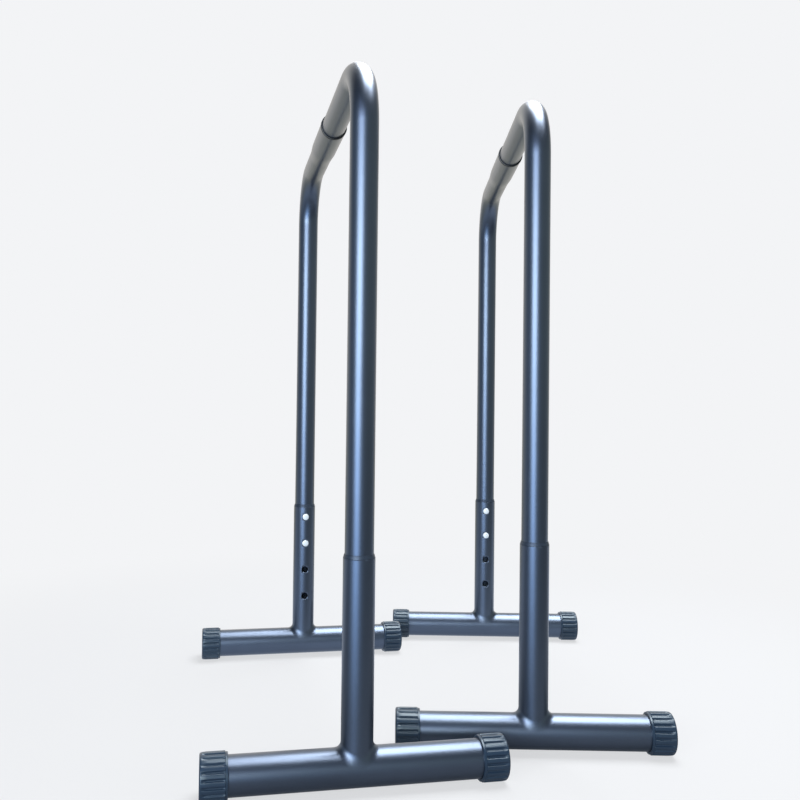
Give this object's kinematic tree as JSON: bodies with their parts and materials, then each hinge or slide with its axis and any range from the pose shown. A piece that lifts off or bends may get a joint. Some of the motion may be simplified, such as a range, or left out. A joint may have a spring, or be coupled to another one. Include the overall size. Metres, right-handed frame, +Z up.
{
  "type": "dip station",
  "caption": "Pair of free-standing dip bars: upside-down U frames of round tube that slide in sleeves on cross feet, set by snap buttons.",
  "frame": {"origin": "on the floor, under the middle of the box round both stands", "axes": "+Z up, +Y from the front feet to the rear feet of the left stand, +X along its feet towards the right stand"},
  "size_m": [0.8, 0.7854, 0.9743],
  "materials": {
    "navy_paint": "satin dark blue-grey powder coat",
    "cap_rubber": "matt dark blue-grey rubber",
    "ring_plastic": "matt black",
    "bush_plastic": "matt dark grey",
    "bright_steel": "bright zinc plate",
    "spring_steel": "plain spring steel",
    "black_screw": "black oxide"
  },
  "bodies": {
    "bases": {"left_front_sleeve": "navy_paint", "left_front_bush": "bush_plastic", "left_front_foot_tube": "navy_paint", "left_front_cap_left": "cap_rubber", "left_front_cap_right": "cap_rubber", "left_rear_sleeve": "navy_paint", "left_rear_bush": "bush_plastic", "left_rear_foot_tube": "navy_paint", "left_rear_cap_left": "cap_rubber", "left_rear_cap_right": "cap_rubber", "right_front_sleeve": "navy_paint", "right_front_bush": "bush_plastic", "right_front_foot_tube": "navy_paint", "right_front_cap_left": "cap_rubber", "right_front_cap_right": "cap_rubber", "right_rear_sleeve": "navy_paint", "right_rear_bush": "bush_plastic", "right_rear_foot_tube": "navy_paint", "right_rear_cap_left": "cap_rubber", "right_rear_cap_right": "cap_rubber"},
    "left_frame": {"left_front_handle_half": "navy_paint", "left_rear_handle_half": "navy_paint", "left_joint_ring": "ring_plastic", "left_joint_screw": "black_screw", "left_front_upper_spring": "spring_steel", "left_front_lower_spring": "spring_steel", "left_rear_upper_spring": "spring_steel", "left_rear_lower_spring": "spring_steel"},
    "right_frame": {"right_front_handle_half": "navy_paint", "right_rear_handle_half": "navy_paint", "right_joint_ring": "ring_plastic", "right_joint_screw": "black_screw", "right_front_upper_spring": "spring_steel", "right_front_lower_spring": "spring_steel", "right_rear_upper_spring": "spring_steel", "right_rear_lower_spring": "spring_steel"},
    "left_front_upper_button": {"left_front_upper_button": "bright_steel"},
    "left_front_lower_button": {"left_front_lower_button": "bright_steel"},
    "left_rear_upper_button": {"left_rear_upper_button": "bright_steel"},
    "left_rear_lower_button": {"left_rear_lower_button": "bright_steel"},
    "right_front_upper_button": {"right_front_upper_button": "bright_steel"},
    "right_front_lower_button": {"right_front_lower_button": "bright_steel"},
    "right_rear_upper_button": {"right_rear_upper_button": "bright_steel"},
    "right_rear_lower_button": {"right_rear_lower_button": "bright_steel"}
  },
  "joints": [
    {"name": "left_height", "type": "slide", "parent": "bases", "child": "left_frame", "axis": [0, 0, 1], "range_m": [-0.104, 0], "deforming": ["left_front_upper_button", "left_front_lower_button", "left_rear_upper_button", "left_rear_lower_button"]},
    {"name": "right_height", "type": "slide", "parent": "bases", "child": "right_frame", "axis": [0, 0, 1], "range_m": [-0.104, 0], "deforming": ["right_front_upper_button", "right_front_lower_button", "right_rear_upper_button", "right_rear_lower_button"]},
    {"name": "left_front_upper_press", "type": "slide", "parent": "left_frame", "child": "left_front_upper_button", "axis": [0, -1, 0], "range_m": [0, 0.0055], "stiffness_N_per_m": 1500, "springref_m": -0.003, "deforming": ["left_front_upper_spring"]},
    {"name": "left_front_lower_press", "type": "slide", "parent": "left_frame", "child": "left_front_lower_button", "axis": [0, -1, 0], "range_m": [0, 0.0055], "stiffness_N_per_m": 1500, "springref_m": -0.003, "deforming": ["left_front_lower_spring"]},
    {"name": "left_rear_upper_press", "type": "slide", "parent": "left_frame", "child": "left_rear_upper_button", "axis": [0, 1, 0], "range_m": [0, 0.0055], "stiffness_N_per_m": 1500, "springref_m": -0.003, "deforming": ["left_rear_upper_spring"]},
    {"name": "left_rear_lower_press", "type": "slide", "parent": "left_frame", "child": "left_rear_lower_button", "axis": [0, 1, 0], "range_m": [0, 0.0055], "stiffness_N_per_m": 1500, "springref_m": -0.003, "deforming": ["left_rear_lower_spring"]},
    {"name": "right_front_upper_press", "type": "slide", "parent": "right_frame", "child": "right_front_upper_button", "axis": [-0.2113, -0.9774, 0], "range_m": [0, 0.0055], "stiffness_N_per_m": 1500, "springref_m": -0.003, "deforming": ["right_front_upper_spring"]},
    {"name": "right_front_lower_press", "type": "slide", "parent": "right_frame", "child": "right_front_lower_button", "axis": [-0.2113, -0.9774, 0], "range_m": [0, 0.0055], "stiffness_N_per_m": 1500, "springref_m": -0.003, "deforming": ["right_front_lower_spring"]},
    {"name": "right_rear_upper_press", "type": "slide", "parent": "right_frame", "child": "right_rear_upper_button", "axis": [0.2113, 0.9774, 0], "range_m": [0, 0.0055], "stiffness_N_per_m": 1500, "springref_m": -0.003, "deforming": ["right_rear_upper_spring"]},
    {"name": "right_rear_lower_press", "type": "slide", "parent": "right_frame", "child": "right_rear_lower_button", "axis": [0.2113, 0.9774, 0], "range_m": [0, 0.0055], "stiffness_N_per_m": 1500, "springref_m": -0.003, "deforming": ["right_rear_lower_spring"]}
  ]
}
